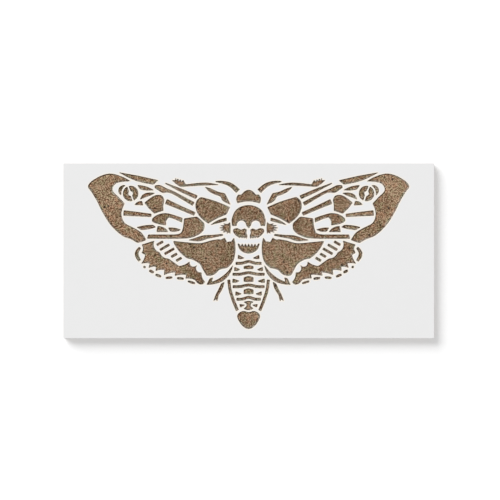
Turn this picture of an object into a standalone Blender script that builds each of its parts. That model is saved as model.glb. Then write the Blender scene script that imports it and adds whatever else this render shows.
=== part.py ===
"""A craft stencil: a death's-head hawkmoth cut through a thin plastic sheet, laid on a fibreboard backing.

The stencil lies flat. X runs along the long side, the moth's head points to +Y, and Z is up. The origin
is on the board's underside, below the middle of the sheet. The moth is drawn in plan, in millimetres
from the sheet's middle: the right half as outlines, then the same outlines mirrored for the left half.
"""

import math

import bmesh
import bpy
from mathutils import Vector
from mathutils.geometry import interpolate_bezier

# Metres in a millimetre: all sizes below are millimetres
MM = 0.001

# The sheet and its backing
SHEET_WIDTH = 305.0
SHEET_HEIGHT = 144.0
SHEET_THICKNESS = 0.5
SHEET_CORNER = 1.0
BOARD_THICKNESS = 6.0
BOARD_INSET = 0.3
BOARD_EDGE = 0.2
REST_GAP = 0.3
SHEET_MIDDLE = BOARD_THICKNESS + REST_GAP + SHEET_THICKNESS / 2

# How the outlines are drawn: the blade takes half its kerf outside each of them
FLATNESS = 0.08
EASE = 0.25
HALF_KERF = 0.2
CURVE_STEPS = 12
NARROWEST_STROKE = 0.5
CUTTER_REACH = 1.0

# The forewing's eye-spot: two half rings round an island, held by a slanting bridge
SPOT = Vector((97.0, 47.0))
SPOT_RADIUS = 6.2
ISLAND_RADIUS = 2.1
SPOT_BRIDGE = 1.5
SPOT_TURN = math.radians(-20)
CRESCENT_INNER = 7.9
CRESCENT_RISE = 2.6

# The rungs across the hindwing's pale band, from the outer end inwards
FIRST_RUNG = Vector((72.9, 6.1))
RUNG_STEP = Vector((-3.9, -3.3))
RUNG_LENGTHS = (5.6, 8.6, 8.8, 5.2, 4.8)
RUNG_WIDTH = 1.8
RUNG_SLANT = math.radians(-30)

# The drops along the hindwing's edge: where each lies, its length, its width and its slant in degrees, and
# the share of its width that it keeps at its ends
EDGE_DROPS = (
    (85.6, -13.4, 1.8, 1.6, 40),
    (79.8, -17.1, 3.8, 2.2, 28),
    (74.2, -20.5, 4.6, 2.1, 22),
    (65.4, -22.2, 5.2, 1.9, -4),
    (56.1, -22.8, 5.2, 2.0, 6),
    (47.0, -26.0, 5.8, 1.8, 18),
)
DROP_END = 0.65

# The teeth along the hindwing band's outer edge, from the body outwards: each tip and the notch beyond it
BAND_TEETH = (
    ((51.8, -22.7), (51.0, -19.7)),
    ((60.6, -20.6), (60.0, -17.6)),
    ((69.4, -19.9), (69.0, -15.7)),
    ((76.3, -16.5), (75.9, -13.0)),
    ((82.1, -14.0), (81.0, -10.3)),
)

# The scale tuft at the wing's root
TUFT = Vector((15.3, 18.6))
TUFT_SPIKES = 6
TUFT_SPREAD = math.radians(150)
TUFT_LEAN = math.radians(-10)
TUFT_TIP = Vector((8.8, 4.7))
TUFT_VALLEY = Vector((4.3, 3.3))
TUFT_BACK = 0.4

# The skull mark on the thorax
SKULL_BROW = 20.5
SKULL_HALF_WIDTH = 13.9
SOCKET_INNER = 1.8
SOCKET_OUTER = 10.0
SOCKET_RISE = 4.4
JAW_HALF_WIDTH = 8.9
JAW_CORNER = 1.0
JAW_TOP = 5.7
JAW_BOTTOM = -2.2
JAW_TEETH = 6
JAW_TOOTH = 2.7
CHEEK_TEETH = 3
CHEEK_TOOTH = 1.4

# The abdomen's rings from the waist down: each one's height and how far its ends droop
RINGS = ((-9.1, 1.3), (-18.3, 1.1), (-28.4, 1.2), (-38.5, 1.4))
RING_WIDTH = 2.1
ABDOMEN_HALF_WIDTH = 13.35
WIDEST_RING = -23.0
ABDOMEN_TAPER = 0.0148

# The marks between the rings: those in the middle, and the wedges at the right side, each one's place and
# length
MARK_HALF_WIDTH = 3.9
MARK_HEIGHTS = (3.0, 4.7, 4.7)
WEDGES = ((11.7, -15.1, 4.6), (13.2, -24.6, 5.6), (10.8, -35.1, 4.9))
WEDGE_HEIGHT = 3.1


def smooth_run(points, closed=False):
    """Close-set points on a smooth curve through these points, which may carry a width as a third value."""
    knots = [Vector(p) for p in points]
    count = len(knots)

    def heading(i):
        if closed or 0 < i < count - 1:
            return (knots[(i + 1) % count] - knots[i - 1]).normalized()
        return None

    run = []
    for i in range(count if closed else count - 1):
        j = (i + 1) % count
        start, end = knots[i], knots[j]
        leave, arrive = heading(i), heading(j)
        reach = (end - start).length / 3
        first = start + leave * reach if leave else None
        second = end - arrive * reach if arrive else None
        if first is None:
            first = start.lerp(second if second else end, 0.4)
        if second is None:
            second = end.lerp(first, 0.4)
        run += interpolate_bezier(start, first, second, end, CURVE_STEPS + 1)[:-1]
    if not closed:
        run.append(knots[-1])
    return run


def thinned(run):
    """The run with only the points that keep it within FLATNESS of its curve."""
    start, end = run[0], run[-1]
    way = end - start
    if len(run) < 3:
        return run
    if way.length < FLATNESS:
        strays = [(p - start).length for p in run]
    else:
        strays = [abs(way.cross(p - start)) / way.length for p in run]
    worst = max(range(len(run)), key=strays.__getitem__)
    if strays[worst] < FLATNESS:
        return [start, end]
    return thinned(run[: worst + 1])[:-1] + thinned(run[worst:])


def trimmed(run, cut):
    """The run without its first `cut` millimetres."""
    for i in range(1, len(run)):
        step = (run[i] - run[i - 1]).length
        if step > cut:
            return [run[i - 1].lerp(run[i], cut / step), *run[i:]]
        cut -= step
    return run[-1:]


def run_length(run):
    """The run's length."""
    return sum((b - a).length for a, b in zip(run, run[1:]))


def eased(run):
    """The run thinned, and cut short at both ends so that its corners come out slightly blunt."""
    cut = min(EASE, run_length(run) / 4)
    return thinned(trimmed(trimmed(run, cut)[::-1], cut)[::-1])


def direction(outline):
    """1 for an outline that runs anticlockwise, -1 for one that runs clockwise."""
    return math.copysign(1, sum(a.cross(b) for a, b in zip(outline, outline[1:] + outline[:1])))


def moved_out(run, side, closed=False):
    """The run moved sideways by half the kerf: to its right for a side of 1."""
    moved = []
    last = len(run) - 1
    for i, point in enumerate(run):
        before = run[i - 1] if closed or i > 0 else point
        after = run[(i + 1) % len(run)] if closed or i < last else point
        way = (after - before).normalized()
        moved.append(point + Vector((way.y, -way.x)) * side * HALF_KERF)
    return moved


def fitted(run, overlap):
    """The run without its overlap with the run before it, or made longer where the overlap is negative."""
    if overlap >= 0:
        return trimmed(run, min(overlap, run_length(run) / 3))
    return [run[0] + (run[0] - run[1]).normalized() * -overlap, *run]


def widened(runs):
    """The closed chain of runs, moved out by half the kerf, still meeting at its corners."""
    side = direction([point for run in runs for point in run[:-1]])
    overlaps = []
    for before, after in zip([runs[-1], *runs[:-1]], runs):
        arrive, leave = before[-1] - before[-2], after[1] - after[0]
        turn = arrive.angle_signed(leave) * -side
        reach = HALF_KERF * math.tan(abs(turn) / 2)
        overlaps.append(-min(reach, HALF_KERF) if turn > 0 else reach)
    wide = []
    for i, run in enumerate(runs):
        cut = fitted(fitted(run, overlaps[i])[::-1], overlaps[(i + 1) % len(runs)])[::-1]
        wide.append(moved_out(cut, side))
    return wide


class Pen:
    """Draws one closed outline from curves, lines and arcs, with a corner where two of them meet."""

    def __init__(self, x, y):
        self.start = self.at = Vector((x, y))
        self.runs = []

    def follow(self, run):
        self.runs.append(run)
        self.at = run[-1]
        return self

    def line(self, x, y):
        """A straight line."""
        return self.follow([self.at, Vector((x, y))])

    def curve(self, *points):
        """A smooth curve through the points, up to the last."""
        return self.follow(smooth_run([self.at, *points]))

    def arc(self, x, y, rise):
        """A circular arc whose middle stands `rise` to the left of the straight way."""
        start, end = self.at, Vector((x, y))
        half = (end - start) / 2
        left = Vector((-half.y, half.x)).normalized()
        radius = (half.length_squared + rise * rise) / (2 * abs(rise))
        side = math.copysign(1, rise)
        centre = start + half + left * (rise - side * radius)
        spoke = start - centre
        sweep = 2 * math.asin(min(1, half.length / radius))
        if abs(rise) > radius:
            sweep = 2 * math.pi - sweep
        steps = 2 * CURVE_STEPS
        run = []
        for i in range(steps + 1):
            turn = -side * sweep * i / steps
            cos, sin = math.cos(turn), math.sin(turn)
            run.append(centre + Vector((spoke.x * cos - spoke.y * sin, spoke.x * sin + spoke.y * cos)))
        return self.follow(run)

    def zigzag(self, x, y, teeth, depth):
        """A row of pointed teeth that stand `depth` to the left of the straight way."""
        way = (Vector((x, y)) - self.at) / teeth
        left = Vector((-way.y, way.x)).normalized() * depth
        for _ in range(teeth):
            foot = self.at
            self.line(*(foot + way / 2 + left))
            self.line(*(foot + way))
        return self

    def outline(self):
        """The closed outline's points."""
        if (self.start - self.at).length > FLATNESS:
            self.line(*self.start)
        return [point for run in widened(self.runs) for point in eased(run)]


def blob(*points):
    """A closed outline that is smooth all round."""
    run = smooth_run(points, closed=True)
    run = moved_out(run, direction(run), closed=True)
    half = len(run) // 2
    return thinned(run[: half + 1])[:-1] + thinned([*run[half:], run[0]])[:-1]


def stroke(*points):
    """The outline of a stroke whose middle passes the points; each point is x, y and the width there."""
    line = smooth_run(points)
    left, right = [], []
    for i, (x, y, width) in enumerate(line):
        before, after = line[max(i - 1, 0)], line[min(i + 1, len(line) - 1)]
        way = Vector((after.x - before.x, after.y - before.y)).normalized()
        half = max(width, NARROWEST_STROKE) / 2
        left.append(Vector((x - way.y * half, y + way.x * half)))
        right.append(Vector((x + way.y * half, y - way.x * half)))
    right.reverse()
    pen = Pen(*left[0]).follow(left)
    return pen.line(*right[0]).follow(right).outline()


def turned(x, y, angle, centre):
    """The place x, y from a centre, turned about it."""
    cos, sin = math.cos(angle), math.sin(angle)
    return centre.x + x * cos - y * sin, centre.y + x * sin + y * cos


def on_circle(centre, radius, degrees):
    """The point of a circle at an angle from +X."""
    angle = math.radians(degrees)
    return centre.x + radius * math.cos(angle), centre.y + radius * math.sin(angle)


def mirrored(outlines):
    """The same outlines on the other side of the moth."""
    return [[Vector((-x, y)) for x, y in reversed(outline)] for outline in outlines]


def both_sides(outlines):
    """The right half's outlines with their mirror images."""
    return outlines + mirrored(outlines)


def forewing_border():
    """The dark tip and outer edge of the forewing."""
    pen = Pen(97.4, 57.2)
    pen.curve((105.2, 61.2), (114.6, 63.2), (124.6, 59.8), (131.8, 53.4), (129.0, 48.4), (124.7, 41.4),
              (119.7, 31.2), (112.6, 20.4), (103.4, 12.2), (96.8, 9.7), (91.4, 6.5))
    pen.arc(84.3, 8.9, 0.3)
    pen.curve((88.6, 15.0), (95.4, 19.0), (102.4, 23.1), (104.7, 30.6), (102.1, 38.8))
    pen.curve((106.8, 43.8), (112.1, 49.8), (109.7, 55.0), (103.8, 56.8), (97.4, 57.2))
    return pen.outline()


def eye_spot():
    """The two half rings of the eye-spot and the crescent outside it."""
    gap = SPOT_BRIDGE / 2
    outer = math.sqrt(SPOT_RADIUS ** 2 - gap ** 2)
    inner = math.sqrt(ISLAND_RADIUS ** 2 - gap ** 2)
    halves = []
    for side in (1, -1):
        place = [turned(side * gap, y, SPOT_TURN, SPOT) for y in (outer, -outer, -inner, inner)]
        pen = Pen(*place[0]).arc(*place[1], side * (SPOT_RADIUS - gap))
        halves.append(pen.line(*place[2]).arc(*place[3], -side * (ISLAND_RADIUS - gap)).outline())
    top, bottom = on_circle(SPOT, CRESCENT_INNER, 57), on_circle(SPOT, CRESCENT_INNER, -10)
    sagitta = CRESCENT_INNER * (1 - math.cos(math.radians(33.5)))
    crescent = Pen(*top).arc(*bottom, sagitta + CRESCENT_RISE).arc(*top, -sagitta).outline()
    return [*halves, crescent]


def forewing():
    """The cut-outs of the right forewing, from its tip in to its root."""
    streak = Pen(106.3, 64.2).curve((90.4, 61.4), (74.5, 57.8)).line(78.3, 54.4)
    streak.curve((90.2, 56.8), (98.4, 60.0), (106.3, 64.2))
    upper_sliver = Pen(91.2, 53.8).curve((84.6, 52.8), (78.1, 49.8)).curve((83.8, 49.6), (89.2, 50.5))
    lower_sliver = Pen(77.2, 47.3).curve((82.4, 47.6), (86.9, 46.0), (89.1, 42.2))
    lower_sliver.curve((84.5, 44.1), (80.7, 45.5), (77.2, 47.3))
    wedge = Pen(93.6, 37.8).curve((91.2, 40.1), (87.7, 40.7)).line(86.8, 37.4)
    outer_cell = Pen(85.4, 39.4).curve((80.8, 43.1), (76.3, 45.5), (71.6, 45.2), (69.4, 41.7))
    outer_cell.curve((70.3, 37.2), (70.2, 33.0)).line(77.4, 30.6).curve((81.8, 34.8), (85.4, 39.4))
    hook = Pen(54.7, 23.4).line(54.5, 26.8)
    hook.curve((61.6, 29.2), (68.4, 30.7), (75.4, 29.1), (79.4, 25.0), (75.6, 22.4), (68.0, 21.0))
    hook.curve((68.0, 24.4), (65.8, 27.6)).curve((60.8, 26.1), (54.8, 23.4))
    first_cell = Pen(74.7, 20.1).curve((71.8, 19.7), (68.6, 18.2), (66.2, 15.5)).line(75.5, 15.5)
    second_cell = Pen(66.0, 18.8).curve((61.0, 18.7), (55.8, 17.2)).curve((60.0, 15.7), (64.3, 15.9))
    lower_vein = Pen(91.8, 19.3).curve((85.2, 20.7), (78.6, 21.1)).line(76.4, 19.4)
    lower_vein.curve((80.6, 18.1), (88.2, 17.1))
    discal = Pen(52.9, 26.4).curve((47.6, 27.1), (42.4, 27.9)).line(36.6, 22.6)
    discal.curve((36.9, 17.4), (41.0, 13.4), (47.5, 10.8), (56.4, 10.0), (70.0, 10.0), (83.3, 10.0))
    discal.line(82.4, 13.1).curve((72.0, 13.1), (61.4, 13.1))
    discal.curve((56.0, 14.2), (54.1, 17.6), (52.9, 26.4))
    basal = Pen(15.6, 35.7).curve((26.5, 40.3), (39.0, 44.0))
    basal.curve((42.6, 41.0), (43.4, 35.4), (40.0, 28.1), (33.1, 22.4)).curve((26.8, 26.2), (18.2, 30.0))
    upper_root = Pen(31.0, 21.3).curve((25.5, 24.8), (18.3, 27.0)).line(18.1, 24.6)
    upper_root.curve((24.8, 22.8), (31.0, 21.3))
    lower_root = Pen(49.2, 8.7).curve((43.6, 10.4), (37.4, 12.4), (29.8, 12.8), (21.5, 13.6)).line(21.0, 12.5)
    lower_root.curve((27.0, 11.2), (33.6, 10.0), (40.6, 7.9), (49.2, 8.7))
    pens = (streak, upper_sliver, lower_sliver, wedge, outer_cell, hook, first_cell, second_cell,
            lower_vein, discal, basal, upper_root, lower_root)
    bars = [
        stroke((68.4, 55.4, 0.5), (56.2, 49.9, 2.4), (42.7, 43.9, 3.0)),
        stroke((77.0, 52.6, 1.8), (73.6, 51.8, 4.1), (70.0, 49.9, 4.6), (66.6, 49.3, 2.6), (63.0, 48.2, 2.1),
               (56.0, 44.4, 2.2), (45.4, 38.4, 3.0)),
        stroke((67.8, 40.4, 3.9), (56.4, 35.4, 3.0), (44.4, 30.2, 2.7)),
        stroke((102.7, 31.0, 4.1), (91.6, 30.1, 3.3), (80.1, 29.0, 2.3)),
    ]
    return [forewing_border(), *eye_spot(), *[pen.outline() for pen in pens], *bars]


def tuft():
    """The burst of long scales where the wings meet the thorax."""
    step = TUFT_SPREAD / (2 * TUFT_SPIKES)
    pen = Pen(TUFT.x, TUFT.y + TUFT_TIP.y)
    for i in range(2 * TUFT_SPIKES + 1):
        angle = TUFT_LEAN + TUFT_SPREAD / 2 - i * step
        reach = TUFT_TIP if i % 2 else TUFT_VALLEY
        pen.line(TUFT.x + reach.x * math.cos(angle), TUFT.y + reach.y * math.sin(angle))
    pen.line(TUFT.x, TUFT.y - TUFT_TIP.y)
    pen.arc(TUFT.x, TUFT.y + TUFT_TIP.y, TUFT_BACK)
    return pen.outline()


def hindwing_band():
    """The dark band of the hindwing: scalloped round the rungs, toothed towards the edge."""
    pen = Pen(87.7, 4.9).line(77.7, 8.0).arc(73.2, -1.5, 2.4).arc(66.0, -6.6, 1.5).arc(57.4, -12.8, -0.1)
    pen.arc(48.6, -9.1, 0.8).arc(42.6, -12.0, 2.8).arc(38.9, -18.0, 2.6).arc(35.9, -25.7, 1.0)
    pen.line(37.9, -27.8)
    pen.curve((41.2, -27.1), (44.0, -24.0))
    for tip, notch in BAND_TEETH:
        pen.arc(*tip, 0.5).line(*notch)
    return pen.arc(88.1, -10.5, 0.4).arc(84.8, -3.4, 0.5).line(87.8, -1.7).arc(87.7, 4.9, 1.2).outline()


def hindwing_base():
    """The large patch at the hindwing's root, furry at the top and scalloped below."""
    pen = Pen(61.7, 7.8).curve((49.2, 6.5), (39.2, 6.0), (30.4, 8.4), (24.6, 9.3))
    pen.line(22.8, 8.7).line(19.8, 10.5).line(17.8, 6.8).line(15.5, 7.5).line(14.3, 7.2).line(12.1, 10.4)
    pen.curve((11.1, 5.6), (11.2, -2.2), (13.1, -9.2), (17.8, -14.1))
    pen.arc(24.8, -15.9, 0.3).arc(34.6, -20.3, -1.8).arc(39.8, -11.0, -0.1).arc(50.7, -6.1, 0.9)
    return pen.curve((56.6, -1.0), (61.3, 6.1)).outline()


def hindwing():
    """The cut-outs of the right hindwing."""
    along = Vector((math.cos(RUNG_SLANT), math.sin(RUNG_SLANT)))
    rungs = []
    for i, length in enumerate(RUNG_LENGTHS):
        middle = FIRST_RUNG + i * RUNG_STEP
        ends = (middle - along * length / 2, middle + along * length / 2)
        rungs.append(stroke(*[(*end, RUNG_WIDTH) for end in ends]))
    drops = []
    for x, y, length, width, degrees in EDGE_DROPS:
        angle = math.radians(degrees)
        centre = Vector((x, y))
        head, tail = (turned(side * length / 2, 0, angle, centre) for side in (1, -1))
        end_width = width * DROP_END
        drops.append(stroke((*head, end_width), (x, y, width), (*tail, end_width)))
    corner = stroke((89.3, 2.5, 1.7), (92.1, -2.6, 2.7), (89.4, -8.3, 2.0))
    rear_edge = Pen(13.1, -12.3).curve((17.6, -17.8), (24.0, -22.9), (30.4, -25.8)).line(29.5, -22.2)
    rear_edge.line(31.8, -22.8).line(34.4, -27.9)
    rear_edge.curve((26.8, -27.1), (20.2, -24.1), (15.2, -18.4), (13.0, -12.2))
    return [hindwing_base(), hindwing_band(), corner, rear_edge.outline(), *rungs, *drops]


def limbs():
    """The right antenna and the three legs that show."""
    antenna = stroke((8.8, 49.0, 3.8), (15.0, 54.2, 3.0), (21.6, 56.3, 1.9), (27.0, 56.8, 0.5))
    foreleg = Pen(24.8, 54.2).curve((35.4, 55.8), (51.8, 54.3)).line(53.9, 58.0)
    foreleg.zigzag(60.0, 59.8, 3, -2.3).line(60.2, 57.6).line(62.8, 57.9).line(59.4, 54.8)
    foreleg.curve((55.8, 52.7), (51.6, 52.9), (38.6, 53.7), (24.8, 54.2))
    midleg = Pen(35.8, 52.4).curve((31.4, 51.1), (25.6, 48.4), (19.6, 47.1)).line(15.0, 38.0)
    midleg.curve((21.0, 41.1), (23.0, 44.8)).curve((28.4, 46.6), (32.9, 49.2), (35.8, 52.4))
    hindleg = Pen(20.0, -25.8).curve((21.4, -31.0), (24.8, -36.4)).line(25.8, -41.3).line(27.2, -39.8)
    hindleg.line(28.8, -41.3).curve((27.0, -36.3), (24.4, -31.4), (22.5, -27.1))
    return [antenna, *[pen.outline() for pen in (foreleg, midleg, hindleg)]]


def skull():
    """The skull mark: its dome and brow, its two cheeks and its jaw."""
    dome = Pen(-SKULL_HALF_WIDTH, SKULL_BROW + 4.6)
    dome.curve((-9.8, 33.9), (0.0, 37.3), (9.8, 33.9), (SKULL_HALF_WIDTH, SKULL_BROW + 4.6))
    dome.line(SKULL_HALF_WIDTH - 0.4, SKULL_BROW).line(SOCKET_OUTER, SKULL_BROW)
    dome.arc(SOCKET_INNER, SKULL_BROW + 0.3, -SOCKET_RISE).line(0.0, SKULL_BROW - 2.0)
    dome.line(-SOCKET_INNER, SKULL_BROW + 0.3).arc(-SOCKET_OUTER, SKULL_BROW, -SOCKET_RISE)
    dome.line(-SKULL_HALF_WIDTH + 0.4, SKULL_BROW)
    cheek = Pen(1.5, 17.0)
    cheek.curve((3.4, 18.1), (6.2, 17.0), (9.4, 18.4), (12.6, 17.1), (11.4, 13.7), (7.3, 10.5))
    cheek.zigzag(1.8, 9.8, CHEEK_TEETH, -CHEEK_TOOTH).curve((1.1, 12.2), (2.0, 14.5), (1.5, 17.0))
    row_end = JAW_HALF_WIDTH - JAW_CORNER
    jaw = Pen(-JAW_HALF_WIDTH, JAW_TOP).line(-row_end, JAW_TOP)
    jaw.zigzag(row_end, JAW_TOP, JAW_TEETH, -JAW_TOOTH).line(JAW_HALF_WIDTH, JAW_TOP)
    jaw.curve((6.5, 0.4), (0.0, JAW_BOTTOM), (-6.5, 0.4), (-JAW_HALF_WIDTH, JAW_TOP))
    return [dome.outline(), *both_sides([cheek.outline()]), jaw.outline()]


def head():
    """The head, with a bulge at each side for the eye."""
    pen = Pen(-9.0, 39.1).arc(9.0, 39.1, 1.6).curve((10.0, 42.8), (8.4, 46.0)).line(5.7, 45.8)
    pen.curve((3.4, 48.6), (0.0, 49.9), (-3.4, 48.6), (-5.7, 45.8))
    return pen.line(-8.4, 46.0).curve((-10.0, 42.8), (-9.0, 39.1)).outline()


def half_width(y):
    """How far the abdomen reaches each side of its middle at this height."""
    return ABDOMEN_HALF_WIDTH - ABDOMEN_TAPER * (y - WIDEST_RING) ** 2


def ring(y, droop):
    """One ring of the abdomen, highest in the middle."""
    reach = half_width(y)
    low = y - droop
    ends = [(side * reach, low, RING_WIDTH) for side in (-1, 1)]
    dips = [(side * reach / 2, low + 0.1, RING_WIDTH) for side in (-1, 1)]
    return stroke(ends[0], dips[0], (0.0, y + 0.2, RING_WIDTH), dips[1], ends[1])


def wedge(x, y, length):
    """The short mark at the abdomen's right side, between two rings, its outer edge at x."""
    pen = Pen(x - 0.2, y + WEDGE_HEIGHT / 2).line(x, y - WEDGE_HEIGHT / 2)
    return pen.curve((x - length / 2, y - WEDGE_HEIGHT / 2), (x - length, y - 0.3)).outline()


def back_mark(y, height):
    """The mark in the middle between two rings: flat below and crowned above."""
    top, shoulder, foot = y + height / 2, y + height / 4, y - height / 2 + 0.4
    pen = Pen(-MARK_HALF_WIDTH, foot).line(-MARK_HALF_WIDTH, shoulder)
    pen.curve((0.0, top), (MARK_HALF_WIDTH, shoulder)).line(MARK_HALF_WIDTH, foot)
    return pen.curve((0.0, foot - 0.4), (-MARK_HALF_WIDTH, foot)).outline()


def abdomen():
    """The abdomen's rings, the marks between them, its sides and its tip."""
    middle = [ring(*place) for place in RINGS]
    for (upper, _), (lower, _), height in zip(RINGS, RINGS[1:], MARK_HEIGHTS):
        middle.append(back_mark((upper + lower) / 2, height))
    last = Pen(-3.9, -42.2).curve((0.0, -41.4), (3.9, -42.2)).curve((1.7, -43.7), (1.6, -45.6), (4.0, -47.7))
    last.curve((0.0, -48.9), (-4.0, -47.7)).curve((-1.6, -45.6), (-1.7, -43.7), (-3.9, -42.2))
    waist = Pen(8.5, -3.6).line(8.8, -6.7).curve((6.2, -6.8), (3.6, -6.1))
    last_wedge = Pen(7.4, -44.0).line(6.8, -46.5).curve((5.0, -45.9), (3.1, -44.6))
    flank = stroke((16.3, -24.0, 2.1), (15.2, -32.4, 2.1), (12.5, -41.0, 2.2), (9.2, -49.1, 2.2))
    tip = blob((0.0, -50.7), (4.9, -49.8), (9.1, -53.0), (7.2, -58.8), (3.4, -63.0), (0.0, -64.2),
               (-3.4, -63.0), (-7.2, -58.8), (-9.1, -53.0), (-4.9, -49.8))
    wedges = [wedge(*place) for place in WEDGES]
    pairs = both_sides([waist.outline(), last_wedge.outline(), flank, *wedges])
    return [*middle, last.outline(), tip, *pairs]


def fresh_collection(name):
    """A new collection in the scene."""
    made = bpy.data.collections.new(name)
    bpy.context.scene.collection.children.link(made)
    return made


def material(name, colour, roughness):
    """A plain finish."""
    made = bpy.data.materials.new(name)
    made.use_nodes = True
    surface = made.node_tree.nodes["Principled BSDF"]
    surface.inputs["Base Color"].default_value = (*colour, 1.0)
    surface.inputs["Roughness"].default_value = roughness
    made.diffuse_color = (*colour, 1.0)
    return made


def cutter(name, outlines, collection):
    """One upright prism for each outline, reaching past both faces of the sheet."""
    plan = bpy.data.curves.new(name, "CURVE")
    plan.dimensions = "2D"
    plan.fill_mode = "BOTH"
    plan.extrude = CUTTER_REACH * MM
    for outline in outlines:
        spline = plan.splines.new("POLY")
        spline.points.add(len(outline) - 1)
        for point, (x, y) in zip(spline.points, outline):
            point.co = (x * MM, y * MM, 0.0, 1.0)
        spline.use_cyclic_u = True
    guide = bpy.data.objects.new(name + "_plan", plan)
    guide.location.z = SHEET_MIDDLE * MM
    collection.objects.link(guide)
    graph = bpy.context.evaluated_depsgraph_get()
    mesh = bpy.data.meshes.new_from_object(guide.evaluated_get(graph))
    edit = bmesh.new()
    edit.from_mesh(mesh)
    bmesh.ops.remove_doubles(edit, verts=edit.verts, dist=0.001 * MM)
    bmesh.ops.recalc_face_normals(edit, faces=edit.faces)
    edit.to_mesh(mesh)
    edit.free()
    made = bpy.data.objects.new(name, mesh)
    made.matrix_world = guide.matrix_world
    bpy.data.objects.remove(guide)
    made.hide_render = True
    made.display_type = "WIRE"
    collection.objects.link(made)
    return made


def slab(name, width, height, thickness, middle, finish, collection):
    """A flat block, its size in its mesh and its middle at this height."""
    bpy.ops.mesh.primitive_cube_add(size=1.0, location=(0.0, 0.0, middle * MM))
    made = bpy.context.object
    made.name = made.data.name = name
    made.scale = (width * MM, height * MM, thickness * MM)
    bpy.ops.object.transform_apply(location=False, rotation=False, scale=True)
    for owner in made.users_collection:
        owner.objects.unlink(made)
    collection.objects.link(made)
    made.data.materials.append(finish)
    return made


def round_upright_edges(block, radius):
    """Rounds the block's four corners in plan."""
    edit = bmesh.new()
    edit.from_mesh(block.data)
    upright = [e for e in edit.edges if abs(e.verts[0].co.z - e.verts[1].co.z) > 0.1 * MM]
    bmesh.ops.bevel(edit, geom=upright, offset=radius * MM, segments=4, profile=0.5, affect="EDGES",
                    material=-1)
    edit.to_mesh(block.data)
    edit.free()


def build_board(collection):
    """The fibreboard backing, a hair smaller than the sheet, its edges broken by sanding."""
    board = slab("backing_board", SHEET_WIDTH - 2 * BOARD_INSET, SHEET_HEIGHT - 2 * BOARD_INSET,
                 BOARD_THICKNESS, BOARD_THICKNESS / 2, material("fibreboard", (0.235, 0.156, 0.095), 0.85),
                 collection)
    worn = board.modifiers.new("worn_edges", "BEVEL")
    worn.width = BOARD_EDGE * MM
    worn.segments = 2


def build_sheet(collection, cutters):
    """The plastic sheet with the moth cut through it."""
    sheet = slab("stencil_sheet", SHEET_WIDTH, SHEET_HEIGHT, SHEET_THICKNESS, SHEET_MIDDLE,
                 material("stencil_film", (0.84, 0.84, 0.84), 0.5), collection)
    round_upright_edges(sheet, SHEET_CORNER)
    cuts = (
        ("forewing_cut_outs", both_sides(forewing())),
        ("hindwing_cut_outs", both_sides(hindwing())),
        ("limb_cut_outs", both_sides(limbs() + [tuft()])),
        ("body_cut_outs", [head(), *skull(), *abdomen()]),
    )
    for name, outlines in cuts:
        cut = sheet.modifiers.new(name, "BOOLEAN")
        cut.operation = "DIFFERENCE"
        cut.solver = "EXACT"
        cut.object = cutter(name, outlines, cutters)


def main():
    for old in list(bpy.data.objects):
        bpy.data.objects.remove(old)
    stencil = fresh_collection("hawkmoth_stencil")
    cutters = fresh_collection("cutters")
    build_board(stencil)
    build_sheet(stencil, cutters)


main()
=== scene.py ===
"""Looks for a craft stencil: a death's-head hawkmoth cut through pale film, on a fibreboard backing.

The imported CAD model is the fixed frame. The film and the board are each rebuilt from their CAD node
with fine edges and a full finish, and a plain studio stands round them. The sizes that the classes
hold are in millimetres. The frame, the meshes and the places taken from them are in metres.
"""

import logging
import math
import random
from dataclasses import dataclass, field
from enum import Enum
from typing import Union

import bmesh
import bpy
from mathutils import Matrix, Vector
from mathutils.kdtree import KDTree


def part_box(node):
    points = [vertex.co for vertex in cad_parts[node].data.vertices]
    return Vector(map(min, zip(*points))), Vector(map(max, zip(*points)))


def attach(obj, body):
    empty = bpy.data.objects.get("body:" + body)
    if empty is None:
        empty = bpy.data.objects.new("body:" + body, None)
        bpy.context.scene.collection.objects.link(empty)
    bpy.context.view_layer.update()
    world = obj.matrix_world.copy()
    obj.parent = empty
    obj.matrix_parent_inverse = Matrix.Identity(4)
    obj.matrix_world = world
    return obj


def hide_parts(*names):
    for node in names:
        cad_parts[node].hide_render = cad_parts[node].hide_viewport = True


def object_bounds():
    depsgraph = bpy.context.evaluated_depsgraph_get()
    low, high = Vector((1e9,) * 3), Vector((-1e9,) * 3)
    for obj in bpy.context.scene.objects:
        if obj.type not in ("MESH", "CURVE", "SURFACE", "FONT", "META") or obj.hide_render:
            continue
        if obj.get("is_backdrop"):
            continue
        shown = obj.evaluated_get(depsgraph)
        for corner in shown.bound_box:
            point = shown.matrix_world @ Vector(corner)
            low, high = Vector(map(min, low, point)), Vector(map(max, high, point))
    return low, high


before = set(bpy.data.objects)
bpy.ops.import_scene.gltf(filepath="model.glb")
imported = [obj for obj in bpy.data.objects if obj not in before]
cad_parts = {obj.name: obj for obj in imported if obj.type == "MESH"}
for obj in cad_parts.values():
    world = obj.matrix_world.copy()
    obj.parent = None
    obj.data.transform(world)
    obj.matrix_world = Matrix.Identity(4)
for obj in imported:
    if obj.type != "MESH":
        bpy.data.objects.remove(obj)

LOG = logging.getLogger("moth_stencil")
BODY = "root"

# Metres in a millimetre
MM = 0.001

# How close together two points are one point, and how close to a plane a point lies on it
SAME_POINT = MM / 1000
ON_PLANE = MM / 100

# The least share of a level face's normal that points straight up or down
LEVEL = 0.99

# The share of a strip's width that is too narrow to be cut off
SLIVER = 0.01

# Where the light comes from, in plan: a turn from +X
LIGHT_AZIMUTH = math.radians(131)

# A Mix node's sockets for colours, by number
MIX_FIRST, MIX_SECOND, MIX_RESULT = 6, 7, 2

Triple = tuple[float, float, float]
Colour = Triple
Span = tuple[float, float]
Term = Union["Signal", float, Triple]


# Shader graphs


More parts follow.
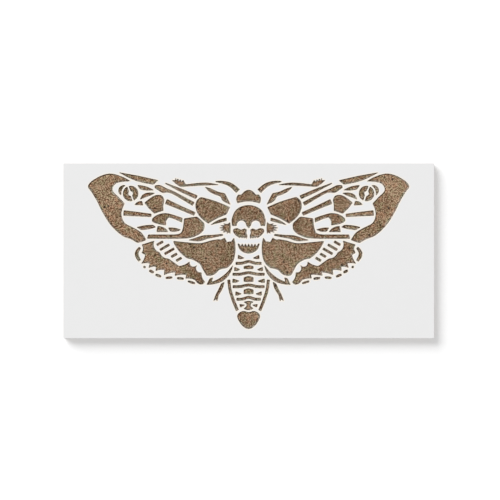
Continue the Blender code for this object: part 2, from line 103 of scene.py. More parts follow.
class Signal:
    """A shader socket that takes part in arithmetic: each operator adds its Math node."""

    def __init__(self, graph: "ShaderGraph", socket: bpy.types.NodeSocket) -> None:
        """Wraps one socket of a graph."""
        self.graph = graph
        self.socket = socket

    def math(self, operation: str, *terms: Term) -> "Signal":
        """A Math node's result, with the terms on its sockets in order."""
        return self.graph.node("ShaderNodeMath", {"operation": operation}, dict(enumerate(terms)))

    def __add__(self, other: Term) -> "Signal":
        """This plus the other."""
        return self.math("ADD", self, other)

    def __radd__(self, other: Term) -> "Signal":
        """The other plus this."""
        return self.math("ADD", other, self)

    def __sub__(self, other: Term) -> "Signal":
        """This minus the other."""
        return self.math("SUBTRACT", self, other)

    def __rsub__(self, other: Term) -> "Signal":
        """The other minus this."""
        return self.math("SUBTRACT", other, self)

    def __mul__(self, other: Term) -> "Signal":
        """This times the other."""
        return self.math("MULTIPLY", self, other)

    def __rmul__(self, other: Term) -> "Signal":
        """The other times this."""
        return self.math("MULTIPLY", other, self)

    def __truediv__(self, other: Term) -> "Signal":
        """This over the other."""
        return self.math("DIVIDE", self, other)

    def __rtruediv__(self, other: Term) -> "Signal":
        """The other over this."""
        return self.math("DIVIDE", other, self)

    def sine(self) -> "Signal":
        """The sine of this, in radians."""
        return self.math("SINE", self)

    def absolute(self) -> "Signal":
        """This without its sign."""
        return self.math("ABSOLUTE", self)

    def rise(self, low: Term, high: Term) -> "Signal":
        """A mask: 0 up to low, 1 from high on, and eased between them."""
        sockets = {"Value": self, "From Min": low, "From Max": high}
        return self.graph.node("ShaderNodeMapRange", {"interpolation_type": "SMOOTHSTEP"}, sockets)

    def other(self, output: str | int) -> "Signal":
        """Another output of the same node."""
        return Signal(self.graph, self.socket.node.outputs[output])


class ShaderGraph:
    """The node tree of a material or a world, built from an empty one."""

    def __init__(self, tree: bpy.types.NodeTree) -> None:
        """Empties the tree."""
        self.tree = tree
        tree.nodes.clear()

    def node(
        self,
        kind: str,
        settings: dict[str, object] | None = None,
        sockets: dict[str | int, Term] | None = None,
        output: str | int = 0,
    ) -> Signal:
        """Adds a node.

        Args:
            kind: the node's type name.
            settings: its properties, set first; "stops" holds a ramp's (place, colour) pairs.
            sockets: the values or links of its inputs, by name or number.
            output: the output that is returned.

        Returns:
            The chosen output, or the first input of a node that has no output.
        """
        made = self.tree.nodes.new(kind)
        for key, value in (settings or {}).items():
            if key == "stops":
                self._set_stops(made.color_ramp, value)
            else:
                setattr(made, key, value)
        for key, value in (sockets or {}).items():
            self._feed(made.inputs[key], value)
        return Signal(self, made.outputs[output] if made.outputs else made.inputs[0])

    def _set_stops(self, ramp: bpy.types.ColorRamp, stops: list[tuple[float, Colour]]) -> None:
        """Gives a new colour ramp its stops.

        Args:
            ramp: the ramp, with the two stops of a new one.
            stops: each stop's place and colour, in rising order.
        """
        for element, (place, colour) in zip(ramp.elements, (stops[0], stops[-1])):
            element.position = place
            element.color = (*colour, 1.0)
        for place, colour in stops[1:-1]:
            ramp.elements.new(place).color = (*colour, 1.0)

    def _feed(self, socket: bpy.types.NodeSocket, value: Term) -> None:
        """Links a signal to an input, or sets the input's own value.

        Args:
            socket: the input.
            value: a signal, a number or a triple.
        """
        if isinstance(value, Signal):
            self.tree.links.new(value.socket, socket)
        elif socket.type == "RGBA":
            socket.default_value = (*value, 1.0)
        else:
            socket.default_value = value

    def place(self, turn: float = 0.0, stretch: Triple = (1.0, 1.0, 1.0)) -> Signal:
        """Object coordinates in millimetres.

        Args:
            turn: a turn about Z, in radians.
            stretch: how many millimetres each axis counts as one.

        Returns:
            The turned and stretched coordinates.
        """
        scale = tuple(1 / (MM * s) for s in stretch)
        place = self.node("ShaderNodeTexCoord", output="Object")
        sockets = {"Vector": place, "Rotation": (0.0, 0.0, turn)}
        turned = self.node("ShaderNodeMapping", {"vector_type": "POINT"}, sockets)
        return self.node("ShaderNodeVectorMath", {"operation": "MULTIPLY"}, {0: turned, 1: scale})

    def part(self, place: Signal, axis: str) -> Signal:
        """One of a vector's three parts, X, Y or Z."""
        return self.node("ShaderNodeSeparateXYZ", {}, {"Vector": place}, axis)

    def attribute(self, name: str) -> Signal:
        """A number held on the mesh."""
        settings = {"attribute_type": "GEOMETRY", "attribute_name": name}
        return self.node("ShaderNodeAttribute", settings, {}, "Fac")

    def noise(
        self, place: Signal, size: float, detail: float = 2.0, roughness: float = 0.5
    ) -> Signal:
        """Noise from 0 to 1 round 0.5, with blots of about this size in millimetres."""
        sockets = {"Vector": place, "Scale": 1 / size, "Detail": detail, "Roughness": roughness}
        return self.node("ShaderNodeTexNoise", {}, sockets, "Fac")

    def mix(self, factor: Term, first: Term, second: Term, blend: str = "MIX") -> Signal:
        """The first colour, blended with the second as far as the factor says."""
        settings = {"data_type": "RGBA", "blend_type": blend}
        sockets = {0: factor, MIX_FIRST: first, MIX_SECOND: second}
        return self.node("ShaderNodeMix", settings, sockets, MIX_RESULT)

    def multiply(self, factor: Term, first: Term, second: Term) -> Signal:
        """The first colour, multiplied by the second where the factor is 1."""
        return self.mix(factor, first, second, "MULTIPLY")

    def scale(self, colour: Signal, by: Term) -> Signal:
        """The colour, lighter or darker by a number."""
        return self.node("ShaderNodeVectorMath", {"operation": "SCALE"}, {0: colour, "Scale": by})

    def bump(self, height: Signal, depth: float) -> Signal:
        """A normal from a height of 0 to 1 that stands for this depth in millimetres."""
        sockets = {"Strength": 1.0, "Distance": depth * MM, "Height": height}
        return self.node("ShaderNodeBump", {}, sockets)

    def principled(self, sockets: dict[str | int, Term]) -> None:
        """Ends a material's graph in a Principled shader with these inputs."""
        shader = self.node("ShaderNodeBsdfPrincipled", {}, sockets)
        self.node("ShaderNodeOutputMaterial", {}, {"Surface": shader})


def new_material(name: str) -> tuple[bpy.types.Material, ShaderGraph]:
    """Makes a material.

    Args:
        name: the material's name.

    Returns:
        The material and its empty graph.
    """
    material = bpy.data.materials.new(name)
    material.use_nodes = True
    return material, ShaderGraph(material.node_tree)


# Finishes


@dataclass(frozen=True)
class FilmFinish:
    """Opaque, satin film: pale grey, cooler among the cut-outs, with a cream-white cut rim that is
    partly the cut edge's own colour and partly a painted highlight.

    A span holds where a mask starts to rise and where it is full. One that is named until holds where
    a mask starts to fade and where it is gone.
    """

    name: str = "satin_film"
    pale: Colour = (0.846, 0.846, 0.846)
    cool: Colour = (0.842, 0.846, 0.856)
    cool_among: Span = (0.5, 0.85)
    cream_and_highlight: Colour = (0.925, 0.866, 0.783)
    cream_and_highlight_until: Span = (0.5, 1.3)
    waver_size: float = 1.6
    waver: float = 0.25
    grain_size: float = 0.22
    cloud_size: float = 14.0
    cloud_span: Span = (0.35, 0.75)
    scuff_turn: float = math.radians(24)
    scuff_stretch: Triple = (9.0, 0.25, 1.0)
    scuff_span: Span = (0.66, 0.78)
    dull: Colour = (0.985, 0.985, 0.985)
    cloud_dulls: float = 0.5
    scuff_dulls: float = 0.25
    lip_until: Span = (0.05, 0.5)
    relief: float = 0.02
    grain_relief: float = 0.35
    lip_relief: float = 0.8
    scuff_relief: float = 0.15
    roughness: float = 0.52
    cloud_roughness: float = 0.12
    grain_roughness: float = 0.1
    scuff_gloss: float = 0.08
    ior: float = 1.46

    def make(self, distance_attribute: str, among_attribute: str) -> bpy.types.Material:
        """Builds the film's material.

        Args:
            distance_attribute: the mesh attribute with each point's distance to the nearest rim.
            among_attribute: the mesh attribute that tells how evenly rims lie round each point.

        Returns:
            The material.
        """
        material, graph = new_material(self.name)
        distance = graph.attribute(distance_attribute) / MM
        among = graph.attribute(among_attribute)
        place = graph.place()
        grain = graph.noise(place, self.grain_size, detail=3.0, roughness=0.6)
        cloud = graph.noise(place, self.cloud_size, detail=3.0)
        scratched = graph.place(self.scuff_turn, self.scuff_stretch)
        scuffs = graph.noise(scratched, size=1.0).rise(*self.scuff_span)
        tone = graph.mix(among.rise(*self.cool_among), self.pale, self.cool)
        dulled = cloud.rise(*self.cloud_span) * self.cloud_dulls + scuffs * self.scuff_dulls
        tone = graph.multiply(dulled, tone, self.dull)
        wavering = distance + (graph.noise(place, self.waver_size) - 0.5) * self.waver
        # The cream rim: partly the cut edge's own colour, partly a painted highlight along the edge
        rim = 1 - wavering.rise(*self.cream_and_highlight_until)
        lip = 1 - distance.rise(*self.lip_until)
        height = grain * self.grain_relief + lip * self.lip_relief + scuffs * self.scuff_relief
        rough = self.roughness + (cloud - 0.5) * self.cloud_roughness
        rough = rough + (grain - 0.5) * self.grain_roughness - scuffs * self.scuff_gloss
        graph.principled(
            {
                "Base Color": graph.mix(rim, tone, self.cream_and_highlight),
                "Roughness": rough,
                "Normal": graph.bump(height, self.relief),
                "IOR": self.ior,
            }
        )
        return material


class BoardFace(Enum):
    """Which face of the board a finish is for."""

    SMOOTH = 0
    SCREENED = 1
    SAWN = 2


@dataclass(frozen=True)
class FibreboardFinish:
    """Pressed wood fibre: brown, mottled with pale and dark fibres and a few near-black specks.

    Its spans are held as the film's are.
    """

    face: BoardFace
    dark: Colour = (0.066, 0.0278, 0.0094)
    middle: Colour = (0.2113, 0.1255, 0.0694)
    light: Colour = (0.452, 0.331, 0.219)
    dark_tone: float = 0.3
    middle_tone: float = 0.5
    light_tone: float = 0.7
    contrast: float = 3.4
    coarse_size: float = 1.9
    coarse_share: float = 0.16
    fine_size: float = 0.85
    fine_share: float = 0.4
    along_turn: float = math.radians(35)
    along_stretch: Triple = (2.0, 0.7, 1.0)
    across_turn: float = math.radians(-50)
    across_stretch: Triple = (1.9, 0.68, 1.0)
    fibre_share: float = 0.22
    drift_size: float = 14.0
    drift: float = 0.34
    hue_size: float = 4.0
    olive: Colour = (0.87, 1.0, 0.88)
    olive_until: Span = (0.36, 0.5)
    russet: Colour = (1.105, 0.96, 0.915)
    russet_from: Span = (0.5, 0.64)
    speck: Colour = (0.036, 0.022, 0.013)
    speck_cell: float = 3.2
    speck_until: Span = (0.22, 0.33)
    speck_chance: Span = (0.87, 0.89)
    end_lightening: float = 0.2
    end_lightening_span: Span = (45.0, 120.0)
    # Painted shade and painted bounce light along the cut rims: the board's colour is multiplied
    # greyer next to them. Where the film's own shadow falls, the painted shade moves back and painted
    # light lifts the colour.
    rim_painted_shade_and_bounce: Colour = (0.795, 0.99, 1.27)
    rim_painted_shade_until: Span = (0.8, 2.1)
    lee_shift: float = 1.6
    lee_painted_light: float = 0.6
    lee_painted_light_until: Span = (0.9, 3.0)
    screen_turn: float = math.radians(3)
    screen_pitch: float = 1.5
    screen_span: Span = (-0.7, 0.55)
    groove_painted_shade: Colour = (0.7, 0.67, 0.63)
    screen_share: float = 0.75
    sawn_stretch: Triple = (6.0, 6.0, 0.45)
    sawn_tint: Colour = (0.72, 0.66, 0.6)
    sawn_share: float = 0.6
    blot_relief: float = 0.6
    fuzz_size: float = 0.35
    smooth_relief: float = 0.05
    screen_relief: float = 0.16
    sawn_relief: float = 0.12
    roughness: float = 0.94
    blot_gloss: float = 0.18
    ior: float = 1.4
    specular: float = 0.3

    def make(self, depth_attribute: str, lee_attribute: str) -> bpy.types.Material:
        """Builds this face's material.

        Args:
            depth_attribute: the mesh attribute with each point's way into a cut-out, in metres.
            lee_attribute: the mesh attribute that is 1 where the nearest rim stands towards the
                light.

        Returns:
            The material.
        """
        material, graph = new_material(f"fibreboard_{self.face.name.lower()}")
        if self.face is BoardFace.SAWN:
            place = graph.place(stretch=self.sawn_stretch)
        else:
            place = graph.place()
        blots = self._blots(graph, place)
        colour = self._colour(graph, place, blots)
        fuzz = graph.noise(place, self.fuzz_size)
        height = blots * self.blot_relief + fuzz * (1 - self.blot_relief)
        relief = self.smooth_relief
        if self.face is BoardFace.SMOOTH:
            # The upper face gets painted shade and painted light along the cut rims
            inside = graph.attribute(depth_attribute) / MM
            colour = self._shaded(graph, colour, inside, graph.attribute(lee_attribute))
        elif self.face is BoardFace.SCREENED:
            screen = self._screen(graph)
            # Painted shade: the screen's grooves are tinted darker than its raised pads
            colour = graph.multiply(1 - screen, colour, self.groove_painted_shade)
            height = height * (1 - self.screen_share) + screen * self.screen_share
            relief = self.screen_relief
        else:
            colour = graph.multiply(self.sawn_share, colour, self.sawn_tint)
            relief = self.sawn_relief
        graph.principled(
            {
                "Base Color": colour,
                "Roughness": self.roughness - blots * self.blot_gloss,
                "Normal": graph.bump(height, relief),
                "IOR": self.ior,
                "Specular IOR Level": self.specular,
            }
        )
        return material

    def _blots(self, graph: ShaderGraph, place: Signal) -> Signal:
        """The fibres' light and dark: two sizes of blot and two ways of fibre.

        Args:
            graph: the material's graph.
            place: the coordinates that the blots follow.

        Returns:
            The blots, from 0 to 1.
        """
        coarse = graph.noise(place, self.coarse_size, roughness=0.55)
        fine = graph.noise(place, self.fine_size, detail=1.0)
        along_place = graph.place(self.along_turn, self.along_stretch)
        along = graph.noise(along_place, size=1.0, detail=1.0)
        across_place = graph.place(self.across_turn, self.across_stretch)
        across = graph.noise(across_place, size=1.0, detail=1.0)
        blots = coarse * self.coarse_share + fine * self.fine_share
        return blots + along * self.fibre_share + across * self.fibre_share

    def _colour(self, graph: ShaderGraph, place: Signal, blots: Signal) -> Signal:
        """The mottled brown, with its drift in tone and hue, its specks, and lighter towards both
        ends.

        Args:
            graph: the material's graph.
            place: the coordinates that the pattern follows.
            blots: the fibres' light and dark.

        Returns:
            The colour.
        """
        drift = graph.noise(place, self.drift_size, detail=3.0)
        tone = (blots - 0.5) * self.contrast + 0.5 + (drift - 0.5) * self.drift
        stops = [
            (self.dark_tone, self.dark),
            (self.middle_tone, self.middle),
            (self.light_tone, self.light),
        ]
        brown = graph.node("ShaderNodeValToRGB", {"stops": stops}, {0: tone}, "Color")
        hue = graph.noise(place, self.hue_size, detail=3.0, roughness=0.7)
        brown = graph.multiply(1 - hue.rise(*self.olive_until), brown, self.olive)
        brown = graph.multiply(hue.rise(*self.russet_from), brown, self.russet)
        brown = graph.mix(self._specks(graph, place), brown, self.speck)
        # Lighter towards both ends of the board along X
        end = graph.part(graph.place(), "X").absolute().rise(*self.end_lightening_span)
        return graph.scale(brown, 1 + end * self.end_lightening)

    def _specks(self, graph: ShaderGraph, place: Signal) -> Signal:
        """Small bits of bark, in about one cell in eight.

        Args:
            graph: the material's graph.
            place: the coordinates that the specks follow.

        Returns:
            1 in a speck, 0 elsewhere.
        """
        sockets = {"Vector": place, "Scale": 1 / self.speck_cell}
        cells = graph.node("ShaderNodeTexVoronoi", {}, sockets, "Distance")
        colour = {"Color": cells.other("Color")}
        chance = graph.node("ShaderNodeSeparateColor", {}, colour, "Red")
        return (1 - cells.rise(*self.speck_until)) * chance.rise(*self.speck_chance)

    def _shaded(self, graph: ShaderGraph, colour: Signal, inside: Signal, lee: Signal) -> Signal:
        """The colour with painted shade and painted bounce light along the rims, which make it greyer
        there, and painted light where the film itself throws a shadow.

        Args:
            graph: the material's graph.
            colour: the board's colour.
            inside: the distance into a cut-out, in millimetres.
            lee: 1 where the nearest rim stands straight towards the light, 0 where it doesn't.

        Returns:
            The shaded colour.
        """
        shaded = 1 - (inside + lee * self.lee_shift).rise(*self.rim_painted_shade_until)
        painted_light = lee * self.lee_painted_light * (1 - inside.rise(*self.lee_painted_light_until))
        return graph.scale(graph.multiply(shaded, colour, self.rim_painted_shade_and_bounce), 1 + painted_light)

    def _screen(self, graph: ShaderGraph) -> Signal:
        """The print of the woven screen that the board was pressed on.

        Args:
            graph: the material's graph.

        Returns:
            1 on the raised pads, 0 in the grooves.
        """
        apart = graph.part(graph.place(self.screen_turn), "X")
        wave = math.tau / self.screen_pitch
        weave = (apart * wave).sine() * (apart.other("Y") * wave).sine()
        return weave.rise(*self.screen_span)


@dataclass(frozen=True)
class FloorFinish:
    """A plain white sweep, lit from within enough to stay white."""

    name: str = "white_sweep"
    base: Colour = (0.6, 0.6, 0.6)
    roughness: float = 0.9
    glow: float = 0.5

    def make(self) -> bpy.types.Material:
        """Builds the floor's material.

        Returns:
            The material.
        """
        material, graph = new_material(self.name)
        graph.principled(
            {
                "Base Color": self.base,
                "Roughness": self.roughness,
                "Specular IOR Level": 0.0,
                "Emission Color": (1.0, 1.0, 1.0),
                "Emission Strength": self.glow,
            }
        )
        return material


# Meshes


def finished_piece(
    name: str, mesh: bmesh.types.BMesh, materials: list[bpy.types.Material]
) -> bpy.types.Object:
    """Turns a bmesh into an object at the origin.

    Args:
        name: the piece's name.
        mesh: the shape, freed here.
        materials: its materials, in the order of its faces' numbers.

    Returns:
        The new object.
    """
    data = bpy.data.meshes.new(name)
    mesh.to_mesh(data)
    mesh.free()
    for material in materials:
        data.materials.append(material)
    piece = bpy.data.objects.new(name, data)
    bpy.context.scene.collection.objects.link(piece)
    LOG.info("%s: %d points, %d faces", name, len(data.vertices), len(data.polygons))
    return piece


def is_level(face: bmesh.types.BMFace) -> bool:
    """True for a face that looks straight up or down."""
    return abs(face.normal.z) > LEVEL


def reach(face: bmesh.types.BMFace, axis: int) -> Span:
    """A face's lowest and highest place along an axis."""
    places = [v.co[axis] for v in face.verts]
    return min(places), max(places)


def grid_cut(
    mesh: bmesh.types.BMesh, faces: list[bmesh.types.BMFace], axis: int, step: float
) -> list[bmesh.types.BMFace]:
    """Cuts faces into strips with planes across one axis.

    The faces are halved again and again, so that each plane is tried only on the faces round it.

    Args:
        mesh: the mesh that holds the faces.
        faces: the faces to cut.
        axis: 0 for planes across X, 1 for planes across Y and 2 for level ones.
        step: the strips' width, in metres.

    Returns:
        The faces that came of it.
    """
    done = []
    low = min(reach(f, axis)[0] for f in faces)
    high = max(reach(f, axis)[1] for f in faces)
    waiting = [(faces, 1, math.ceil((high - low) / step - SLIVER) - 1)]
    while waiting:
        group, first, last = waiting.pop()
        if first > last or not group:
            done += group
            continue
        middle = (first + last) // 2
        place = low + middle * step
        crossed = {
            f
            for f in group
            if reach(f, axis)[0] < place - ON_PLANE and reach(f, axis)[1] > place + ON_PLANE
        }
        rest = [f for f in group if f not in crossed]
        if crossed:
            edges = {e for f in crossed for e in f.edges}
            verts = {v for f in crossed for v in f.verts}
            point, normal = Vector(), Vector()
            point[axis], normal[axis] = place, 1.0
            result = bmesh.ops.bisect_plane(
                mesh,
                geom=[*verts, *edges, *crossed],
                dist=ON_PLANE,
                plane_co=point,
                plane_no=normal,
            )
            rest += [g for g in result["geom"] if isinstance(g, bmesh.types.BMFace)]
        below = [f for f in rest if f.calc_center_median()[axis] < place]
        above = [f for f in rest if f.calc_center_median()[axis] >= place]
        waiting += [(below, first, middle - 1), (above, middle + 1, last)]
    return done


def grid_top(mesh: bmesh.types.BMesh, top: float, step: float) -> None:
    """Cuts the upper face into small squares, so that it can hold numbers all over it.

    Args:
        mesh: the mesh.
        top: the upper face's height, in metres.
        step: the squares' width, in metres.
    """
    faces = [f for f in mesh.faces if is_level(f) and f.verts[0].co.z > top - ON_PLANE]
    for axis in (0, 1):
        faces = grid_cut(mesh, faces, axis, step)


class RimMap:
    """The cut rims in plan: how far a place is from them, and whether it lies among them."""

    def __init__(self, rims: list[tuple[Vector, Vector]], around: float, every: int) -> None:
        """Takes the rims.

        Args:
            rims: each rim point, with the way from it into its cut-out.
            around: how far round a place its neighbours are looked for, in metres.
            every: one in how many rim points is looked at as a neighbour.
        """
        self.rims = rims
        self.around = around
        self.nearest = self._tree([point for point, _ in rims])
        self.neighbours = self._tree([point for point, _ in rims[::every]])

    def _tree(self, points: list[Vector]) -> KDTree:
        """Makes a search tree.

        Args:
            points: the points.

        Returns:
            The tree, ready for use.
        """
        tree = KDTree(len(points))
        for i, point in enumerate(points):
            tree.insert(point, i)
        tree.balance()
        return tree

    def distance(self, place: Vector) -> float:
        """The distance to the nearest rim."""
        return self.nearest.find(place.xy.to_3d())[2]

    def depth(self, place: Vector) -> float:
        """How far inside a cut-out the place lies; below 0 outside all of them."""
        point, i, distance = self.nearest.find(place.xy.to_3d())
        return math.copysign(distance, (place.xy.to_3d() - point).dot(self.rims[i][1]))

    def leeward(self, place: Vector, azimuth: float) -> float:
        """1 where the nearest rim stands between the place and the light, 0 or less elsewhere."""
        inward = self.rims[self.nearest.find(place.xy.to_3d())[1]][1]
        return -inward.dot(Vector((math.cos(azimuth), math.sin(azimuth), 0.0)))

    def among(self, place: Vector) -> float:
        """Tells whether rims lie all round a place.

        Args:
            place: the place.

        Returns:
            1 where the rims lie evenly all round it, 0 where they lie on one side or far away.
        """
        spot = place.xy.to_3d()
        found = self.neighbours.find_range(spot, self.around)
        if not found:
            return 0.0
        ways = [(point - spot).normalized() for point, _, _ in found]
        return 1 - (sum(ways, Vector()) / len(ways)).length


@dataclass
class StencilSheet:
    """The cut film: the CAD node's outlines, drawn fine and smooth, with softened upper rims."""

    node: str = "stencil_sheet"
    rim_spacing: float = 0.5
    shortest_edge: float = 0.2
    outside_margin: float = 1.2
    gentle_turn: float = math.radians(28)
    gentle_rounds: int = 3
    corner_rounds: int = 1
    easing: float = 0.5
    flat_turn: float = math.radians(1)
    rim_round: float = 0.09
    rim_segments: int = 2
    grid: float = 1.25
    far_from_rim: float = 50.0
    neighbours_around: float = 15.0
    neighbours_every: int = 3
    distance_attribute: str = "rim_distance"
    among_attribute: str = "among_rims"
    finish: FilmFinish = field(default_factory=FilmFinish)

    def build(self) -> RimMap:
        """Builds the film in place of its CAD node.

        Returns:
            The map of its cut rims.
        """
        low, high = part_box(self.node)
        mesh = self._rims(high.z)
        self._smooth(mesh, low, high)
        self._fill(mesh)
        self._thicken(mesh, high.z - low.z)
        points = self._soften_rims(mesh, low, high)
        rims = RimMap(points, self.neighbours_around * MM, self.neighbours_every)
        grid_top(mesh, high.z, self.grid * MM)
        self._measure_rims(mesh, rims, low.z)
        for face in mesh.faces:
            face.smooth = not is_level(face)
        material = self.finish.make(self.distance_attribute, self.among_attribute)
        piece = finished_piece("stencil_film", mesh, [material])
        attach(piece, BODY)
        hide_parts(self.node)
        return rims

    def _rims(self, top: float) -> bmesh.types.BMesh:
        """Takes the outlines from a copy of the CAD node.

        Args:
            top: the height of the node's upper face.

        Returns:
            The upper outlines, as loops of edges with no faces.
        """
        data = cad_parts[self.node].data.copy()
        while data.uv_layers:
            data.uv_layers.remove(data.uv_layers[0])
        if data.has_custom_normals:
            data.attributes.remove(data.attributes["custom_normal"])
        mesh = bmesh.new()
        mesh.from_mesh(data)
        bpy.data.meshes.remove(data)
        bmesh.ops.remove_doubles(mesh, verts=mesh.verts, dist=SAME_POINT)
        mesh.normal_update()
        inner = [e for e in mesh.edges if not self._is_rim(e, top)]
        bmesh.ops.delete(mesh, geom=list(mesh.faces), context="FACES_ONLY")
        bmesh.ops.delete(mesh, geom=inner, context="EDGES")
        return mesh

    def _is_rim(self, edge: bmesh.types.BMEdge, top: float) -> bool:
        """Tells a rim from other edges.

        Args:
            edge: the edge.
            top: the height of the upper face.

        Returns:
            True for an edge at that height, between a level face and an upright one.
        """
        if any(abs(v.co.z - top) > ON_PLANE for v in edge.verts) or len(edge.link_faces) != 2:
            return False
        return is_level(edge.link_faces[0]) != is_level(edge.link_faces[1])

    def _smooth(self, mesh: bmesh.types.BMesh, low: Vector, high: Vector) -> None:
        """Sets the outlines' points close together and rounds the cut-outs' small corners.

        Args:
            mesh: the outlines.
            low: the sheet's lowest corner.
            high: its highest corner.
        """
        bmesh.ops.remove_doubles(mesh, verts=mesh.verts, dist=self.shortest_edge * MM)
        by_cuts = {}
        for edge in mesh.edges:
            cuts = math.ceil(edge.calc_length() / (self.rim_spacing * MM)) - 1
            by_cuts.setdefault(cuts, []).append(edge)
        for cuts, edges in by_cuts.items():
            if cuts:
                bmesh.ops.bisect_edges(mesh, edges=edges, cuts=cuts)
        inside = [v for v in mesh.verts if not self._on_outside(v, low, high)]
        gentle = [v for v in inside if self._turn(v) < self.gentle_turn]
        for verts in [gentle] * self.gentle_rounds + [inside] * self.corner_rounds:
            bmesh.ops.smooth_vert(
                mesh, verts=verts, factor=self.easing, use_axis_x=True, use_axis_y=True
            )

    def _on_outside(self, vert: bmesh.types.BMVert, low: Vector, high: Vector) -> bool:
        """True for a point on the sheet's outer edge, its rounded corners included."""
        margin = self.outside_margin * MM
        return not all(low[i] + margin < vert.co[i] < high[i] - margin for i in (0, 1))

    def _turn(self, vert: bmesh.types.BMVert) -> float:
        """How far the outline turns at a point, in radians."""
        ways = [(e.other_vert(vert).co - vert.co).normalized() for e in vert.link_edges]
        return math.pi - ways[0].angle(ways[1])

    def _fill(self, mesh: bmesh.types.BMesh) -> None:
        """Fills the sheet between its outlines, in as few faces as its holes allow.

        Args:
            mesh: the outlines.
        """
        bmesh.ops.triangle_fill(
            mesh, use_beauty=True, use_dissolve=False, edges=mesh.edges, normal=(0, 0, 1)
        )
        inner = [e for e in mesh.edges if len(e.link_faces) == 2]
        bmesh.ops.dissolve_limit(mesh, angle_limit=self.flat_turn, verts=[], edges=inner)

    def _thicken(self, mesh: bmesh.types.BMesh, thickness: float) -> None:
        """Gives the filled sheet its thickness, downwards.

        Args:
            mesh: the filled sheet.
            thickness: how thick it gets, in metres.
        """
        lower = bmesh.ops.extrude_face_region(mesh, geom=list(mesh.faces))["geom"]
        lower_verts = [g for g in lower if isinstance(g, bmesh.types.BMVert)]
        bmesh.ops.translate(mesh, verts=lower_verts, vec=(0, 0, -thickness))
        bmesh.ops.recalc_face_normals(mesh, faces=mesh.faces)

    def _soften_rims(
        self, mesh: bmesh.types.BMesh, low: Vector, high: Vector
    ) -> list[tuple[Vector, Vector]]:
        """Rounds the upper rims.

        Args:
            mesh: the sheet.
            low: the sheet's lowest corner.
            high: its highest corner.

        Returns:
            The points of the cut-outs' rims in plan, each with the way into its cut-out.
        """
        mesh.normal_update()
        rims = [e for e in mesh.edges if self._is_rim(e, high.z)]
        inwards = {}
        for edge in rims:
            wall = next(f for f in edge.link_faces if not is_level(f))
            for vert in edge.verts:
                if not self._on_outside(vert, low, high):
                    inwards[vert] = inwards.get(vert, Vector()) + wall.normal
        points = [(v.co.xy.to_3d(), way.normalized()) for v, way in inwards.items()]
        bmesh.ops.bevel(
            mesh,
            geom=rims,
            offset=self.rim_round * MM,
            offset_type="OFFSET",
            affect="EDGES",
            segments=self.rim_segments,
            profile=0.5,
            material=-1,
            clamp_overlap=False,
        )
        mesh.normal_update()
        return points

    def _measure_rims(self, mesh: bmesh.types.BMesh, rims: RimMap, bottom: float) -> None:
        """Writes each point's place among the rims; the underside counts as far away from them.

        Args:
            mesh: the sheet.
            rims: its cut rims.
            bottom: the height of its underside.
        """
        distance = mesh.verts.layers.float.new(self.distance_attribute)
        among = mesh.verts.layers.float.new(self.among_attribute)
        for vert in mesh.verts:
            if vert.co.z < bottom + ON_PLANE:
                vert[distance] = self.far_from_rim * MM
            else:
                vert[distance] = rims.distance(vert.co)
                vert[among] = rims.among(vert.co)


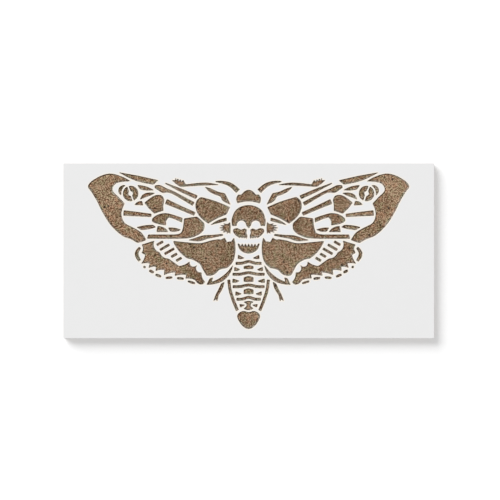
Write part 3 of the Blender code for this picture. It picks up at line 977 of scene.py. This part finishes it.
@dataclass
class BackingBoard:
    """The fibreboard under the film, with its pressed faces and its sawn, slightly ragged sides."""

    node: str = "backing_board"
    edge_round: float = 0.2
    edge_segments: int = 2
    side_step: float = 1.5
    side_margin: float = 0.1
    side_tilt: float = 0.5
    raggedness: float = 0.05
    seed: int = 11
    grid: float = 0.85
    depth_attribute: str = "cut_out_depth"
    lee_attribute: str = "cut_out_lee"

    def build(self, rims: RimMap) -> None:
        """Builds the board in place of its CAD node.

        Args:
            rims: the cut rims of the film above it.
        """
        low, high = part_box(self.node)
        mesh = bmesh.new()
        bmesh.ops.create_cube(mesh, size=1.0)
        bmesh.ops.scale(mesh, vec=high - low, verts=mesh.verts)
        bmesh.ops.translate(mesh, vec=(low + high) / 2, verts=mesh.verts)
        bmesh.ops.bevel(
            mesh,
            geom=list(mesh.edges),
            offset=self.edge_round * MM,
            offset_type="OFFSET",
            affect="EDGES",
            segments=self.edge_segments,
            profile=0.5,
            material=-1,
        )
        mesh.normal_update()
        self._ruffle_sides(mesh, low, high)
        grid_top(mesh, high.z, self.grid * MM)
        self._measure_depth(mesh, rims, high.z)
        for face in mesh.faces:
            face.material_index = self._face_of(face).value
            face.smooth = not is_level(face)
        finishes = [FibreboardFinish(face) for face in BoardFace]
        materials = [f.make(self.depth_attribute, self.lee_attribute) for f in finishes]
        piece = finished_piece("fibreboard", mesh, materials)
        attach(piece, BODY)
        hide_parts(self.node)

    def _ruffle_sides(self, mesh: bmesh.types.BMesh, low: Vector, high: Vector) -> None:
        """Cuts the sides into short lengths and sets their points in by a hair, never out.

        Args:
            mesh: the board.
            low: its lowest corner.
            high: its highest corner.
        """
        for axis in (0, 1, 2):
            sides = [f for f in mesh.faces if not is_level(f) and self._spans(f, axis)]
            grid_cut(mesh, sides, axis, self.side_step * MM)
        mesh.normal_update()
        draw = random.Random(self.seed)
        middle = (low + high) / 2
        for vert in mesh.verts:
            if low.z + self.edge_round * MM < vert.co.z < high.z - self.edge_round * MM:
                on_end = min(vert.co.x - low.x, high.x - vert.co.x) < self.side_margin * MM
                axis = 0 if on_end else 1
                inward = middle[axis] - vert.co[axis]
                vert.co[axis] += math.copysign(draw.random() * self.raggedness * MM, inward)

    def _spans(self, face: bmesh.types.BMFace, axis: int) -> bool:
        """True for a face that is longer than one step along an axis."""
        low, high = reach(face, axis)
        return high - low > self.side_step * MM

    def _measure_depth(self, mesh: bmesh.types.BMesh, rims: RimMap, top: float) -> None:
        """Writes where each point of the upper face lies in the cut-outs above it.

        Args:
            mesh: the board.
            rims: the cut rims of the film.
            top: the height of the board's upper face.
        """
        depth = mesh.verts.layers.float.new(self.depth_attribute)
        lee = mesh.verts.layers.float.new(self.lee_attribute)
        for vert in mesh.verts:
            if vert.co.z > top - ON_PLANE:
                vert[depth] = rims.depth(vert.co)
                vert[lee] = max(0.0, rims.leeward(vert.co, LIGHT_AZIMUTH))

    def _face_of(self, face: bmesh.types.BMFace) -> BoardFace:
        """Sorts the mesh's faces.

        Args:
            face: a face of the mesh.

        Returns:
            The board's face that it belongs to.
        """
        if abs(face.normal.z) < self.side_tilt:
            return BoardFace.SAWN
        return BoardFace.SMOOTH if face.normal.z > 0 else BoardFace.SCREENED


# The studio


@dataclass
class Studio:
    """A white sweep, an even sky, a broad light from the upper left and a camera straight above."""

    floor_size: float = 40000.0
    floor_gap: float = 0.02
    sky: float = 0.2
    light_spread: float = math.radians(50)
    light_elevation: float = math.radians(25.5)
    frame_width: float = 411.05
    frame_middle: tuple[float, float] = (1.11, 0.6)
    lens: float = 200.0
    sensor: float = 36.0

    def build(self, top: float) -> None:
        """Builds the studio.

        Args:
            top: the height of the object's upper face, in metres.
        """
        self._floor()
        self._sky()
        self._light()
        self._camera(top)
        bpy.context.scene.view_settings.view_transform = "Standard"

    def _floor(self) -> None:
        """The sweep, a hair under the object."""
        mesh = bmesh.new()
        bmesh.ops.create_grid(mesh, x_segments=1, y_segments=1, size=self.floor_size * MM / 2)
        bmesh.ops.translate(mesh, vec=(0, 0, -self.floor_gap * MM), verts=mesh.verts)
        finished_piece("floor", mesh, [FloorFinish().make()])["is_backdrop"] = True

    def _sky(self) -> None:
        """An even white sky."""
        world = bpy.data.worlds.new("studio_sky")
        world.use_nodes = True
        bpy.context.scene.world = world
        graph = ShaderGraph(world.node_tree)
        sockets = {"Color": (1.0, 1.0, 1.0), "Strength": self.sky}
        shader = graph.node("ShaderNodeBackground", {}, sockets)
        graph.node("ShaderNodeOutputWorld", {}, {"Surface": shader})

    def _light(self) -> None:
        """One broad, soft light, which with the sky gives a level face full light."""
        lamp = bpy.data.lights.new("soft_light", "SUN")
        lamp.energy = math.pi * (1 - self.sky) / math.sin(self.light_elevation)
        lamp.angle = self.light_spread
        light = bpy.data.objects.new("soft_light", lamp)
        level = math.cos(self.light_elevation)
        towards = Vector(
            (
                math.cos(LIGHT_AZIMUTH) * level,
                math.sin(LIGHT_AZIMUTH) * level,
                math.sin(self.light_elevation),
            )
        )
        light.rotation_euler = towards.to_track_quat("Z", "Y").to_euler()
        bpy.context.scene.collection.objects.link(light)

    def _camera(self, top: float) -> None:
        """A camera straight above, with the long side of the object across the picture.

        Args:
            top: the height of the object's upper face, in metres.
        """
        lens = bpy.data.cameras.new("camera")
        lens.lens = self.lens
        lens.sensor_width = self.sensor
        camera = bpy.data.objects.new("camera", lens)
        height = top + self.frame_width * MM * self.lens / self.sensor
        camera.location = (self.frame_middle[0] * MM, self.frame_middle[1] * MM, height)
        bpy.context.scene.collection.objects.link(camera)
        bpy.context.scene.camera = camera


def main() -> None:
    """Builds the film, the board and the studio in order."""
    logging.basicConfig(level=logging.INFO, format="%(message)s")
    cad_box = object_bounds()
    rims = StencilSheet().build()
    BackingBoard().build(rims)
    Studio().build(cad_box[1].z)


if __name__ == "__main__":
    main()
